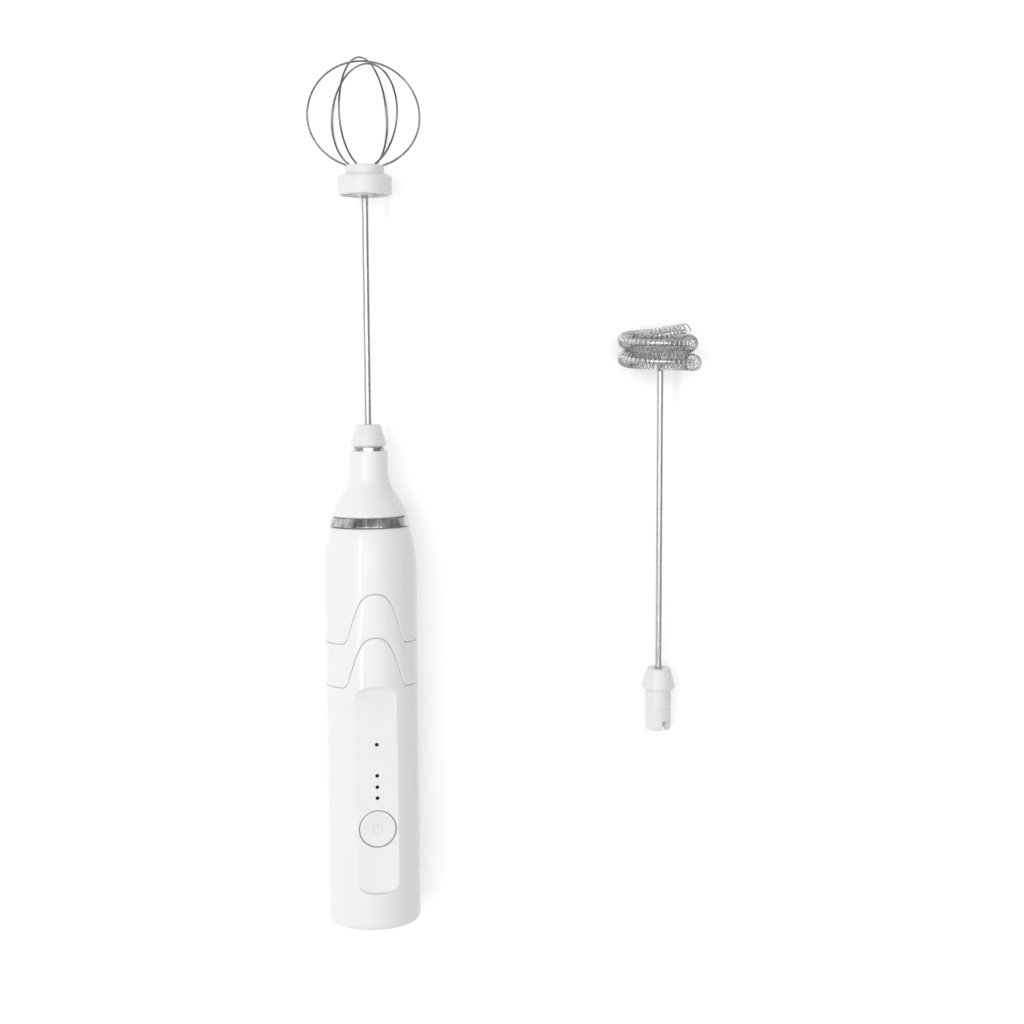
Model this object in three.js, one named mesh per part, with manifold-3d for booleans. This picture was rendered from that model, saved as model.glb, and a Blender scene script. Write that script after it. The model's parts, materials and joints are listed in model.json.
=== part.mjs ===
// A rechargeable hand-held milk frother with a push-in balloon whisk, and its second head, a double spring
// whisk, lying beside it on the same table. Millimetres. The origin is the centre of the handle's flat base,
// +Y runs along the handle to the whisk, +Z is up from the table and +X points to the second head.

import * as THREE from "three";
import { mergeVertices } from "three/addons/utils/BufferGeometryUtils.js";
import Module from "manifold-3d";

const wasm = await Module();
wasm.setup();

// ---------- driving dimensions ----------

const GAP = 0.3; // clearance between pieces that touch on the real object
const FIT = 0.15; // radial clearance of a rod in its bore
const FINE = 72; // sides of the round outer shells
const ROUND = 24; // sides of smaller round pieces
const SMALL = 12; // sides of pins and bores

const BODY_R = 13.5; // the handle's barrel
const BASE_FILLET = 2;
const WALL = 2.2;
const BORE_R = BODY_R - WALL;
const SEAM_Y = [70.4, 83.0]; // height of the two wavy seams at the sides and back
const SEAM_HUMP = 14.9; // how much higher both seams run across the front
const SEAM_GAP = 0.4;
const SHOULDER_Y = 103; // the straight barrel ends here
const SHOULDER_R = 41; // radius of the arc that draws the shoulder in
const BODY_TOP_Y = 116.0;
const RING_TOP_Y = 118.8;
const NOSE_TOP_Y = 137.8;
const NOSE_R = 5.6;
const COLLAR_Y = 139.2; // underside of the whisk's conical collar
const FACE_Z = 12.14; // plane of the flat control panel
const PANEL_INSIDE_Z = 10.1;
const PANEL_HALF_WIDTH = Math.sqrt(BODY_R ** 2 - FACE_Z ** 2);
const PANEL_BOTTOM_Y = 10.9;
const PANEL_TOP_Y = 71.0;
const PANEL_CORNER = 4.2;
const BUTTON_Y = 29.7;
const BUTTON_R = 5.2;
const LIGHT_Y = [54.2, 45.2, 41.9, 38.7]; // the charging light, then the three speed lights
const LIGHT_R = 0.5;

const PLUG_R = 3.95;
const PLUG_LENGTH = 13.0;
const COLLAR_R = 5.2;
const COLLAR_LENGTH = 6.2;
const SHAFT_R = 1.0;
const HUB_Y = 210.7;
const HUB_SKIRT_TOP_Y = 216.2;
const HUB_TOP_Y = 219.1;
const HUB_R = 7.8;
const HUB_NECK_R = 5.6;
const WIRE_R = 0.3;
const BALLOON_Y = 232.9; // where the loops are widest
const BALLOON_DROP = 14.5; // how far an oval loop reaches below its widest point
const WIDE_LOOP_R = 16.0;
const SIDE_LOOP_R = 15.2;
const SIDE_LOOP_ANGLE = 58; // degrees between the wide loop's plane and each side loop's plane
const APEX_Y = [248.4, 249.3, 247.5]; // the loops pass over each other at the top

const MOTOR_R = 9.5;
const MOTOR_Y = 84;
const MOTOR_FRONT_Y = 109;
const PCB_TOP_Z = 5.2;
const PCB_THICKNESS = 1.2;
const PCB_BOTTOM_Z = PCB_TOP_Z - PCB_THICKNESS;
const CELL_R = 7;
const CELL_Y = 12;
const CELL_LENGTH = 50;
const CELL_Z = -3.6;

const TABLE_Z = -BODY_R;
const SPARE_X = 88.6;
const SPARE_Y = 63.6; // underside of the second head's collar
const SPARE_STEM = 100.2; // from the collar's underside to the ring's first turn
const SPARE_SLANT = 0.7; // degrees that the head lies off the handle's direction
const COIL_R = 2.6; // outside of the spring wound on the ring
const COIL_WIRE_R = 0.24;
const COIL_TURNS = 94;
// The ring's centre line, as [turns, radius, height above the stem]. The first turn is level, the second
// one starts inside it and lies on top, and its free end rises and opens outwards.
const RING_PATH = [
  [0, 10.2, -1.15],
  [0.125, 10.2, -0.45],
  [0.25, 10.2, 0],
  [0.375, 10.2, 0.2],
  [0.5, 10.2, 0.35],
  [0.625, 10.2, 0.5],
  [0.75, 10.1, 0.75],
  [0.875, 9.3, 2.2],
  [1, 8.5, 4.3],
  [1.125, 9.1, 5.2],
  [1.25, 10.1, 5.4],
  [1.375, 10.2, 5.55],
  [1.5, 10.2, 5.7],
  [1.625, 10.2, 5.85],
  [1.75, 10.2, 6.25],
  [1.83, 11, 7],
  [1.9, 12.4, 7.8],
];

// ---------- materials ----------

const finish = (color, roughness, metalness) =>
  new THREE.MeshStandardMaterial({ color, roughness, metalness });
const white = finish(0xf3f3f2, 0.25, 0);
const whiteButton = finish(0xf0f0ef, 0.3, 0);
const chrome = finish(0xc9cbcd, 0.12, 1);
const steel = finish(0xb9bbbd, 0.25, 1);
const smoky = finish(0x17181a, 0.3, 0);
const frameGrey = finish(0x3a3d40, 0.6, 0);
const boardGreen = finish(0x1f5a38, 0.5, 0);
const copper = finish(0xb4693a, 0.35, 1);
const brass = finish(0xc6a24e, 0.35, 1);
const magnetGrey = finish(0x4a4a4d, 0.7, 0);
const cellBlue = finish(0x3c6ea8, 0.45, 0);
const rubberBlack = finish(0x1c1c1d, 0.8, 0);
const redLead = finish(0xb3261e, 0.5, 0);
const blackLead = finish(0x1a1a1a, 0.5, 0);
const ledCream = finish(0xe8e2c4, 0.4, 0);

// ---------- solids ----------

// A closed three.js geometry as a solid that can be joined and cut.
function solid(geometry) {
  const bare = new THREE.BufferGeometry();
  bare.setAttribute("position", geometry.getAttribute("position"));
  if (geometry.index) bare.setIndex(geometry.index);
  const merged = mergeVertices(bare, 1e-4);
  const corners = [];
  for (let i = 0; i < merged.index.count; i += 3) {
    const [a, b, c] = [0, 1, 2].map((k) => merged.index.getX(i + k));
    if (a !== b && b !== c && c !== a) corners.push(a, b, c);
  }
  const make = (triVerts) =>
    new wasm.Manifold(
      new wasm.Mesh({
        numProp: 3,
        vertProperties: new Float32Array(merged.attributes.position.array),
        triVerts,
      }),
    );
  const made = make(new Uint32Array(corners));
  return made.volume() < 0 ? make(new Uint32Array(corners).reverse()) : made;
}

function geometryOf(shape) {
  const mesh = shape.getMesh();
  return new THREE.BufferGeometry()
    .setAttribute("position", new THREE.BufferAttribute(new Float32Array(mesh.vertProperties), 3))
    .setIndex(new THREE.BufferAttribute(new Uint32Array(mesh.triVerts), 1));
}

const join = (first, ...others) => others.reduce((a, b) => a.add(b), first);
const cut = (first, ...others) => others.reduce((a, b) => a.subtract(b), first);

// Turns an outline of [radius, height] points about the Y axis. It starts and ends on the axis, or is a ring.
function turned(outline, sides = ROUND) {
  const onAxis = outline[0][0] === 0 && outline.at(-1)[0] === 0;
  const points = (onAxis ? outline : [...outline, outline[0]]).map(([r, y]) => new THREE.Vector2(r, y));
  return new THREE.LatheGeometry(points, sides);
}

const rod = (radius, from, to, sides = SMALL) =>
  solid(
    turned(
      [
        [0, from],
        [radius, from],
        [radius, to],
        [0, to],
      ],
      sides,
    ),
  );

const pipe = (inner, outer, from, to, sides = ROUND) =>
  solid(
    turned(
      [
        [inner, from],
        [outer, from],
        [outer, to],
        [inner, to],
      ],
      sides,
    ),
  );

// A box between two corners.
function block([x0, y0, z0], [x1, y1, z1]) {
  const box = new THREE.BoxGeometry(x1 - x0, y1 - y0, z1 - z0);
  return solid(box.translate((x0 + x1) / 2, (y0 + y1) / 2, (z0 + z1) / 2));
}

// A cylinder along Z, centred on (x, y).
function pinZ(radius, x, y, from, to, sides = SMALL) {
  const geometry = new THREE.CylinderGeometry(radius, radius, to - from, sides);
  return solid(geometry.rotateX(Math.PI / 2).translate(x, y, (from + to) / 2));
}

// A cylinder along X, centred on (y, z).
function pinX(radius, y, z, from, to, sides = SMALL) {
  const geometry = new THREE.CylinderGeometry(radius, radius, to - from, sides);
  return solid(geometry.rotateZ(Math.PI / 2).translate((from + to) / 2, y, z));
}

// A flat outline in X and Y, given thickness along Z.
function plate(shape, from, to, curveSegments = 12) {
  const geometry = new THREE.ExtrudeGeometry(shape, { depth: to - from, bevelEnabled: false, curveSegments });
  return solid(geometry.translate(0, 0, from));
}

// Wire of a round section along a curve.
function wire(curve, radius, sides, steps) {
  const section = new THREE.Shape();
  for (let i = 0; i < sides; i++) {
    const a = (2 * Math.PI * i) / sides;
    if (i) section.lineTo(radius * Math.cos(a), radius * Math.sin(a));
    else section.moveTo(radius, 0);
  }
  section.closePath();
  return solid(new THREE.ExtrudeGeometry(section, { steps, extrudePath: curve, bevelEnabled: false }));
}

// Points of an arc about (centreR, centreY), in [radius, height], from one angle to another in degrees.
function arc(centreR, centreY, radius, from, to, steps) {
  return Array.from({ length: steps + 1 }, (_, i) => {
    const a = THREE.MathUtils.degToRad(from + ((to - from) * i) / steps);
    return [centreR + radius * Math.cos(a), centreY + radius * Math.sin(a)];
  });
}

function piece(name, shape, material) {
  const mesh = new THREE.Mesh(geometryOf(shape), material);
  mesh.name = name;
  return mesh;
}

// ---------- the wavy seams ----------

const HUMP_HALF = 27.8; // degrees from the front to where the hump is half as high
const HUMP_TURN = 0.0844; // how quickly it falls there, per degree
const HUMP_SETTLE = 0.0043; // how much quicker it settles below that than it starts above it
const HUMP_ROUND = 4; // degrees over which its top is rounded

// Height of a seam above its level part, at an angle from the front: a bell with steep sides.
function seamRise(angle) {
  const from = Math.hypot(THREE.MathUtils.radToDeg(angle), HUMP_ROUND) - HUMP_HALF;
  const settle = HUMP_SETTLE * THREE.MathUtils.clamp(from, 0, 14);
  return (SEAM_HUMP / 2) * (1 - Math.tanh(from * (HUMP_TURN + settle)));
}

// Half the seam's gap measured along Y, so that the gap is as wide across its slopes as on its level part.
function halfGap(angle) {
  const step = 0.01;
  const slope = (seamRise(angle + step) - seamRise(angle - step)) / (2 * step * BODY_R);
  return (SEAM_GAP / 2) * Math.sqrt(1 + slope * slope);
}

// Lifts the rows of a turned shell to a seam, fading to nothing at the height called fixed.
// side is +1 for the shell above the seam and -1 for the one below it.
function toSeam(geometry, seam, fixed, side) {
  const position = geometry.getAttribute("position");
  for (let i = 0; i < position.count; i++) {
    const y = position.getY(i);
    const share = (y - fixed) / (seam - fixed);
    if (share <= 0) continue;
    const angle = Math.atan2(position.getX(i), position.getZ(i));
    position.setY(i, y + share * (seamRise(angle) + side * halfGap(angle)));
  }
  return geometry;
}

// ---------- the handle's housings ----------

function lowerShell() {
  const outline = [
    [0, 0],
    ...arc(BODY_R - BASE_FILLET, BASE_FILLET, BASE_FILLET, -90, 0, 4),
    [BODY_R, 60],
    [BODY_R, SEAM_Y[0]],
    [BORE_R, SEAM_Y[0]],
    [BORE_R, 60],
    [BORE_R, 3.2],
    [BORE_R - 1.2, 2],
    [0, 2],
  ];
  const shell = solid(toSeam(turned(outline, FINE), SEAM_Y[0], 60, -1));
  // Behind the flat panel the wall keeps its thickness as a pad across the bore.
  const pad = rod(BORE_R + 0.5, 8, 74, FINE).intersect(block([-9, 7, PANEL_INSIDE_Z], [9, 75, BODY_R]));
  const holes = [
    plate(panelOutline(), FACE_Z, BODY_R + 3, 8),
    pinZ(BUTTON_R + GAP, 0, BUTTON_Y, PANEL_INSIDE_Z - 1, BODY_R, ROUND),
    ...LIGHT_Y.map((y) => pinZ(LIGHT_R + FIT, 0, y, PANEL_INSIDE_Z - 1, BODY_R, 12)),
    solid(usbOutline(0.25, -1, 3)),
  ];
  return cut(join(shell, pad), ...holes);
}

// The flat panel's outline: its long sides are where the flat leaves the barrel, its ends are rounded.
function panelOutline() {
  const [half, r] = [PANEL_HALF_WIDTH + 1, PANEL_CORNER + 1];
  const shape = new THREE.Shape();
  shape.moveTo(-half, PANEL_BOTTOM_Y + r);
  shape.absarc(-half + r, PANEL_BOTTOM_Y + r, r, Math.PI, 1.5 * Math.PI, false);
  shape.absarc(half - r, PANEL_BOTTOM_Y + r, r, -0.5 * Math.PI, 0, false);
  shape.absarc(half - r, PANEL_TOP_Y - r, r, 0, 0.5 * Math.PI, false);
  shape.absarc(-half + r, PANEL_TOP_Y - r, r, 0.5 * Math.PI, Math.PI, false);
  shape.closePath();
  return shape;
}

function waveBand() {
  const outline = [
    [BORE_R, SEAM_Y[0]],
    [BODY_R, SEAM_Y[0]],
    [BODY_R, SEAM_Y[1]],
    [BORE_R, SEAM_Y[1]],
  ];
  const geometry = turned(outline, FINE);
  const position = geometry.getAttribute("position");
  for (let i = 0; i < position.count; i++) {
    const angle = Math.atan2(position.getX(i), position.getZ(i));
    const side = position.getY(i) < SEAM_Y[1] ? 1 : -1;
    position.setY(i, position.getY(i) + seamRise(angle) + side * halfGap(angle));
  }
  return solid(geometry);
}

// Radius of the shoulder's arc at a height.
const shoulder = (y) => BODY_R - SHOULDER_R + Math.sqrt(SHOULDER_R ** 2 - (y - SHOULDER_Y) ** 2);

function upperShell() {
  const rows = 4;
  const arcRows = Array.from({ length: rows }, (_, i) => {
    const y = SHOULDER_Y + ((BODY_TOP_Y - 0.3 - SHOULDER_Y) * (i + 1)) / rows;
    return [shoulder(y), y];
  });
  const outline = [
    [BODY_R, SEAM_Y[1]],
    [BODY_R, SHOULDER_Y],
    ...arcRows,
    [shoulder(BODY_TOP_Y) - 0.3, BODY_TOP_Y],
    [10, BODY_TOP_Y],
    [10, 113],
    [10.9, 111.6],
    [BORE_R, 109.5],
    [BORE_R, SHOULDER_Y],
    [BORE_R, SEAM_Y[1]],
  ];
  const geometry = turned(outline, FINE);
  const position = geometry.getAttribute("position");
  for (let i = 0; i < position.count; i++) {
    if (position.getY(i) > SEAM_Y[1] + 0.01) continue;
    const angle = Math.atan2(position.getX(i), position.getZ(i));
    position.setY(i, position.getY(i) + seamRise(angle) + halfGap(angle));
  }
  return solid(geometry);
}

// The inner sleeve that the three shells are pushed on, open at the front behind the control panel.
function jointSleeve() {
  return cut(pipe(10, BORE_R - GAP, 65.2, 103), block([-9, 64, PANEL_INSIDE_Z - 0.5], [9, 74.5, 14]));
}

function trimRing() {
  const taper = [
    [0, BODY_TOP_Y],
    [11.85, BODY_TOP_Y],
    [10.7, RING_TOP_Y + 0.1],
    [0, RING_TOP_Y + 0.1],
  ];
  return pipe(10, 11.8, BODY_TOP_Y + GAP, RING_TOP_Y, FINE).intersect(solid(turned(taper, FINE)));
}

function noseCone() {
  const start = RING_TOP_Y + GAP;
  const throat = arc(NOSE_R + 12, 132.3, 12, 180 + 26, 180, 4);
  const outline = [
    [10.85, start],
    [10.8, start + 0.6],
    [10.4, 120.6],
    [9.9, 122.0],
    ...throat,
    ...arc(NOSE_R - 0.5, NOSE_TOP_Y - 0.5, 0.5, 0, 90, 3),
    [4.8, NOSE_TOP_Y],
    [4.8, 130],
    [4.3, 130],
    [4.3, 124.5],
    [8.4, 119.5],
    [8.4, 113],
    [9.7, 113],
    [9.7, start],
  ];
  return solid(turned(outline, 36));
}

const noseFerrule = () => pipe(PLUG_R + 0.2, 4.5, 130.3, COLLAR_Y - 0.4);

// ---------- the controls ----------

function buttonCap() {
  const outline = [
    [0, 0],
    [BUTTON_R + 0.7, 0],
    [BUTTON_R + 0.7, 0.6],
    [BUTTON_R, 0.6],
    [BUTTON_R, 3.1],
    [BUTTON_R - 0.3, 3.35],
    [BUTTON_R * 0.6, 3.45],
    [0, 3.45],
  ];
  const cap = solid(turned(outline).rotateX(Math.PI / 2).translate(0, BUTTON_Y, PANEL_INSIDE_Z - 1.3));
  return join(cap, pinZ(1.5, 0, BUTTON_Y, 8.75, PANEL_INSIDE_Z - 1));
}

const switchPlunger = () => pinZ(1.2, 0, BUTTON_Y, 7.1, 8.45);

function switchBody() {
  const body = block([-3, BUTTON_Y - 3, PCB_TOP_Z + GAP], [3, BUTTON_Y + 3, 7.8]);
  return cut(body, pinZ(1.5, 0, BUTTON_Y, 6.1, 9));
}

// A light guide: a pin in the panel with a small head behind it.
function lightGuide(y) {
  return join(
    pinZ(LIGHT_R, 0, y, PANEL_INSIDE_Z - 0.9, FACE_Z - 0.05, 12),
    pinZ(1.1, 0, y, PANEL_INSIDE_Z - 1.1, PANEL_INSIDE_Z - GAP, 12),
  );
}

const led = (from, to) => block([-0.8, from, PCB_TOP_Z + 0.1], [0.8, to, PCB_TOP_Z + 0.8]);

// ---------- the electronics and the cell ----------

const USB_HALF_WIDTH = 4.47;
const USB_HEIGHT = 3.2;
const USB_Z = PCB_TOP_Z + GAP + USB_HEIGHT / 2;

// The rounded outline of the charging socket, grown by some amount, between two heights along Y.
function usbOutline(grow, from, to) {
  const r = USB_HEIGHT / 2 + grow;
  const half = USB_HALF_WIDTH - USB_HEIGHT / 2;
  const shape = new THREE.Shape();
  shape.moveTo(half, -r);
  shape.absarc(half, 0, r, -Math.PI / 2, Math.PI / 2, false);
  shape.absarc(-half, 0, r, Math.PI / 2, (3 * Math.PI) / 2, false);
  shape.closePath();
  const options = { depth: to - from, bevelEnabled: false, curveSegments: 8 };
  const geometry = new THREE.ExtrudeGeometry(shape, options);
  return geometry.rotateX(-Math.PI / 2).translate(0, from, USB_Z);
}

function usbShell() {
  return cut(solid(usbOutline(0, 0.5, 7.8)), solid(usbOutline(-0.3, 0, 6.8)));
}

function usbTongue() {
  return block([-3.3, 1.6, USB_Z - 0.35], [3.3, 6.5, USB_Z + 0.35]);
}

const BOARD_SCREWS = [
  [-6.8, 60],
  [6.8, 16],
];

function circuitBoard() {
  const board = block([-8, 3, PCB_BOTTOM_Z], [8, 64, PCB_TOP_Z]);
  return cut(board, ...BOARD_SCREWS.map(([x, y]) => pinZ(0.95, x, y, 3, 7)));
}

function boardScrew([x, y]) {
  const head = pinZ(1.6, x, y, PCB_TOP_Z + 0.2, PCB_TOP_Z + 1.3);
  const slot = block([x - 2, y - 0.2, PCB_TOP_Z + 0.9], [x + 2, y + 0.2, 9]);
  return join(pinZ(0.75, x, y, 2.3, PCB_TOP_Z + 0.5), cut(head, slot));
}

const chip = (x, y, halfX, halfY, height) =>
  block([x - halfX, y - halfY, PCB_TOP_Z + 0.1], [x + halfX, y + halfY, PCB_TOP_Z + height]);

function cell() {
  const end = CELL_Y + CELL_LENGTH;
  const outline = [
    [0, CELL_Y],
    [CELL_R - 0.6, CELL_Y],
    [CELL_R, CELL_Y + 0.6],
    [CELL_R, end - 1.4],
    [CELL_R - 0.6, end - 0.8],
    [2.8, end - 0.8],
    [2.8, end],
    [0, end],
  ];
  return solid(turned(outline).translate(0, 0, CELL_Z));
}

const contactTab = (from, to) => block([-2.5, from, CELL_Z - 2], [2.5, to, PCB_BOTTOM_Z - GAP]);

// The chassis: two end walls and a cradle rib for the cell, tied together by the rails that carry the board.
function chassis() {
  const top = PCB_BOTTOM_Z - GAP;
  const walls = [
    [8.6, 10.8],
    [36, 38.5],
    [63.1, 64.8],
  ].map(([from, to]) => rod(BORE_R - GAP, from, to, 48).intersect(block([-12, 0, -12], [12, 80, top])));
  const rails = [-1, 1].map((side) =>
    block([side > 0 ? 5.3 : -9.8, 9, 1.8], [side > 0 ? 9.8 : -5.3, 64.5, top]),
  );
  return cut(
    join(walls[0], ...walls.slice(1), ...rails),
    rod(CELL_R + GAP, 11.1, 62.9).translate([0, 0, CELL_Z]),
    ...BOARD_SCREWS.map(([x, y]) => pinZ(0.9, x, y, 2.1, 5)),
  );
}

// ---------- the motor and the drive ----------

function motorCan() {
  const outline = [
    [MOTOR_R - 0.5, MOTOR_Y],
    [MOTOR_R, MOTOR_Y],
    [MOTOR_R, MOTOR_FRONT_Y - 0.8],
    [MOTOR_R - 0.8, MOTOR_FRONT_Y],
    [3, MOTOR_FRONT_Y],
    [3, MOTOR_FRONT_Y + 1.6],
    [2.4, MOTOR_FRONT_Y + 1.6],
    [2.4, MOTOR_FRONT_Y - 1],
    [MOTOR_R - 0.5, MOTOR_FRONT_Y - 1],
  ];
  return cut(
    solid(turned(outline, ROUND)),
    ...MOTOR_SCREW_X.map((x) => rod(0.95, MOTOR_FRONT_Y - 2, MOTOR_FRONT_Y + 1).translate([x, 0, 0])),
  );
}

const MOTOR_SCREW_X = [-6, 6];

function motorEndBell() {
  const bell = solid(
    turned(
      [
        [2.4, MOTOR_Y - 3],
        [MOTOR_R - 0.2, MOTOR_Y - 3],
        [MOTOR_R - 0.2, MOTOR_Y - 0.2],
        [MOTOR_R - 0.8, MOTOR_Y - 0.2],
        [MOTOR_R - 0.8, MOTOR_Y + 1.5],
        [2.4, MOTOR_Y + 1.5],
      ],
      ROUND,
    ),
  );
  return cut(bell, ...[-1, 1].map((side) => block([side * 6 - 1, 74, -0.5], [side * 6 + 1, 86, 0.5])));
}

const motorTerminal = (side) =>
  block([side * 6 - 0.8, MOTOR_Y - 5.5, -0.25], [side * 6 + 0.8, MOTOR_Y + 1.2, 0.25]);

const bush = (from, to) => pipe(SHAFT_R + 0.1, 2.25, from, to, ROUND);

// One of the two arc magnets inside the can.
function magnet(side) {
  const ring = pipe(7.4, 8.7, MOTOR_Y + 5, MOTOR_FRONT_Y - 3, 36);
  return ring.intersect(block([-6, 80, side > 0 ? 3 : -12], [6, 110, side > 0 ? 12 : -3]));
}

// The three-pole stack of steel laminations.
function rotorCore() {
  const hub = pipe(SHAFT_R + FIT, 2.6, MOTOR_Y + 7, MOTOR_FRONT_Y - 5, ROUND);
  const poles = [0, 1, 2].map((i) => {
    const web = block([-0.9, MOTOR_Y + 7, 1.9], [0.9, MOTOR_FRONT_Y - 5, 6.4]);
    const shoe = pipe(6.0, 7.1, MOTOR_Y + 7, MOTOR_FRONT_Y - 5, 36).intersect(
      block([-5.2, 80, 3], [5.2, 110, 9]),
    );
    return join(web, shoe).rotate([0, 120 * i, 0]);
  });
  return join(hub, ...poles);
}

// A winding wraps one pole's web.
function winding(i) {
  const [from, to] = [MOTOR_Y + 7, MOTOR_FRONT_Y - 5];
  const outside = block([-2.1, from - 1.3, 3.0], [2.1, to + 1.3, 5.2]);
  const loop = cut(outside, block([-1.1, from - 0.2, 2], [1.1, to + 0.2, 6]));
  return loop.rotate([0, 120 * i, 0]);
}

const commutator = () => pipe(SHAFT_R + FIT, 2.6, MOTOR_Y + 2, MOTOR_Y + 5.4, ROUND);

const brush = (side) =>
  block([side > 0 ? 2.8 : -5.2, MOTOR_Y + 2.6, -0.9], [side > 0 ? 5.2 : -2.8, MOTOR_Y + 4.8, 0.9]);

function motorMount() {
  return cut(
    pipe(3.3, 10.6, MOTOR_FRONT_Y + GAP, MOTOR_FRONT_Y + 2.3, ROUND),
    ...MOTOR_SCREW_X.map((x) => rod(1.2, 108, 112).translate([x, 0, 0])),
  );
}

function motorScrew(x) {
  const top = MOTOR_FRONT_Y + 2.5;
  return cut(
    join(rod(0.8, MOTOR_FRONT_Y - 1.5, top + 0.3), rod(1.8, top, top + 1.3)),
    block([-2, top + 0.8, -0.25], [2, top + 2, 0.25]),
    block([-0.25, top + 0.8, -2], [0.25, top + 2, 2]),
  ).translate([x, 0, 0]);
}

const CROSS_PIN_Y = 128;
const CROSS_PIN_R = 0.5;

const driveShaft = () =>
  cut(rod(SHAFT_R, 80, 130, ROUND), pinX(CROSS_PIN_R + 0.1, CROSS_PIN_Y, 0, -3, 3, 12));

function driveDog() {
  return cut(pipe(SHAFT_R + FIT, 2.0, 120, 131, ROUND), pinX(CROSS_PIN_R + 0.1, CROSS_PIN_Y, 0, -4, 4, 12));
}

const crossPin = () => pinX(CROSS_PIN_R, CROSS_PIN_Y, 0, -3.5, 3.5, 12);

// A lip seal round the drive shaft keeps milk out of the motor.
function shaftSeal() {
  return solid(
    turned([
      [SHAFT_R + 0.1, 115.1],
      [1.6, 115.1],
      [2.6, 113.4],
      [8.1, 113.4],
      [8.1, 115.4],
      [2.8, 115.4],
      [1.6, 116.9],
      [SHAFT_R + 0.1, 116.9],
    ]),
  );
}

// ---------- the leads ----------

function lead(points, radius = 0.55) {
  const curve = new THREE.CatmullRomCurve3(points.map((p) => new THREE.Vector3(...p)), false, "centripetal");
  return wire(curve, radius, 6, 3 * points.length);
}

const motorLead = (side) =>
  lead([
    [side * 4, 61, PCB_TOP_Z + 0.7],
    [side * 4.2, 64.5, PCB_TOP_Z + 0.7],
    [side * 5.2, 70, 4.2],
    [side * 6, 75, 0.8],
    [side * 6, 78.1, 0],
  ]);

// ---------- the push-in heads ----------

// The moulded coupling of a head, with its collar's underside at y 0: a collar above, a slotted plug below.
function plug() {
  const outline = [
    [0, -PLUG_LENGTH],
    [PLUG_R - 0.7, -PLUG_LENGTH],
    [PLUG_R - 0.2, -PLUG_LENGTH + 0.25],
    [PLUG_R, -PLUG_LENGTH + 0.9],
    [PLUG_R, 0],
    [COLLAR_R - 0.3, 0],
    [COLLAR_R, 0.5],
    [3.75, COLLAR_LENGTH - 0.5],
    [3.55, COLLAR_LENGTH - 0.12],
    [3.2, COLLAR_LENGTH],
    [0, COLLAR_LENGTH],
  ];
  return cut(
    solid(turned(outline)),
    rod(2.35, -PLUG_LENGTH - 1, -6.6, ROUND),
    rod(SHAFT_R + FIT, -6, COLLAR_LENGTH + 1),
    block([-6, -PLUG_LENGTH - 1, -0.75], [6, -PLUG_LENGTH + 3.1, 0.75]),
  );
}

const loopAngles = [0, SIDE_LOOP_ANGLE, 180 - SIDE_LOOP_ANGLE];

// The centre line of one wire loop, turned about the axis: a half circle on top of a half oval whose ends go
// down into the hub.
function loopCurve(radius, apex, angle) {
  const ellipse = (degrees) => {
    const a = THREE.MathUtils.degToRad(degrees);
    const height = a > 0 ? apex - BALLOON_Y : BALLOON_DROP;
    return [radius * Math.cos(a), BALLOON_Y + height * Math.sin(a)];
  };
  const steps = 20;
  const half = [
    [4.1, HUB_TOP_Y - 2.3],
    [4.6, HUB_TOP_Y - 0.9],
    ...Array.from({ length: steps }, (_, i) => ellipse(-70 + (160 * i) / steps)),
  ];
  const other = [...half].reverse().map(([r, y]) => [-r, y]);
  const turn = THREE.MathUtils.degToRad(angle);
  const path = [...half, [0, apex], ...other];
  return new THREE.CatmullRomCurve3(
    path.map(([r, y]) => new THREE.Vector3(r * Math.cos(turn), y, -r * Math.sin(turn))),
    false,
    "centripetal",
  );
}

const LOOPS = [WIDE_LOOP_R, SIDE_LOOP_R, SIDE_LOOP_R].map((r, i) => loopCurve(r, APEX_Y[i], loopAngles[i]));

function whiskHub() {
  const outline = [
    [0, HUB_Y],
    [2.4, HUB_Y],
    [2.4, HUB_Y + 1.6],
    [6.7, HUB_Y + 1.6],
    [6.7, HUB_Y],
    [HUB_R - 0.2, HUB_Y],
    [HUB_R, HUB_Y + 0.3],
    [HUB_R, HUB_SKIRT_TOP_Y - 1.3],
    [HUB_R - 0.35, HUB_SKIRT_TOP_Y - 0.4],
    [HUB_R - 1.2, HUB_SKIRT_TOP_Y],
    [HUB_NECK_R, HUB_SKIRT_TOP_Y],
    [HUB_NECK_R, HUB_TOP_Y - 0.4],
    [HUB_NECK_R - 0.4, HUB_TOP_Y],
    [0, HUB_TOP_Y],
  ];
  const ribs = [0, 60, 120].map((a) =>
    block([-6.9, HUB_Y + 0.5, -0.35], [6.9, HUB_Y + 2, 0.35]).rotate([0, a, 0]),
  );
  return cut(
    join(solid(turned(outline, 32)), ...ribs),
    rod(SHAFT_R + FIT, HUB_Y - 1, HUB_TOP_Y - 2.5),
    ...LOOPS.map((curve) => wire(curve, WIRE_R + FIT, 6, 44)),
  );
}

const whiskLoop = (i) => wire(LOOPS[i], WIRE_R, 5, 44);

const ringCurve = new THREE.CatmullRomCurve3(
  RING_PATH.map(([turns, radius, height]) => {
    const a = 2 * Math.PI * turns;
    return new THREE.Vector3(radius * Math.cos(a), SPARE_STEM + height, radius * Math.sin(a));
  }),
  false,
  "centripetal",
);

// The spring wire, wound round the ring's centre line.
class CoilCurve extends THREE.Curve {
  getPoint(t) {
    const centre = ringCurve.getPointAt(t);
    const out = new THREE.Vector3(centre.x, 0, centre.z).normalize();
    const up = new THREE.Vector3().crossVectors(out, ringCurve.getTangentAt(t)).normalize();
    const a = 2 * Math.PI * COIL_TURNS * t;
    const r = COIL_R - COIL_WIRE_R;
    return centre.addScaledVector(out, r * Math.cos(a)).addScaledVector(up, r * Math.sin(a));
  }
}

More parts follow.
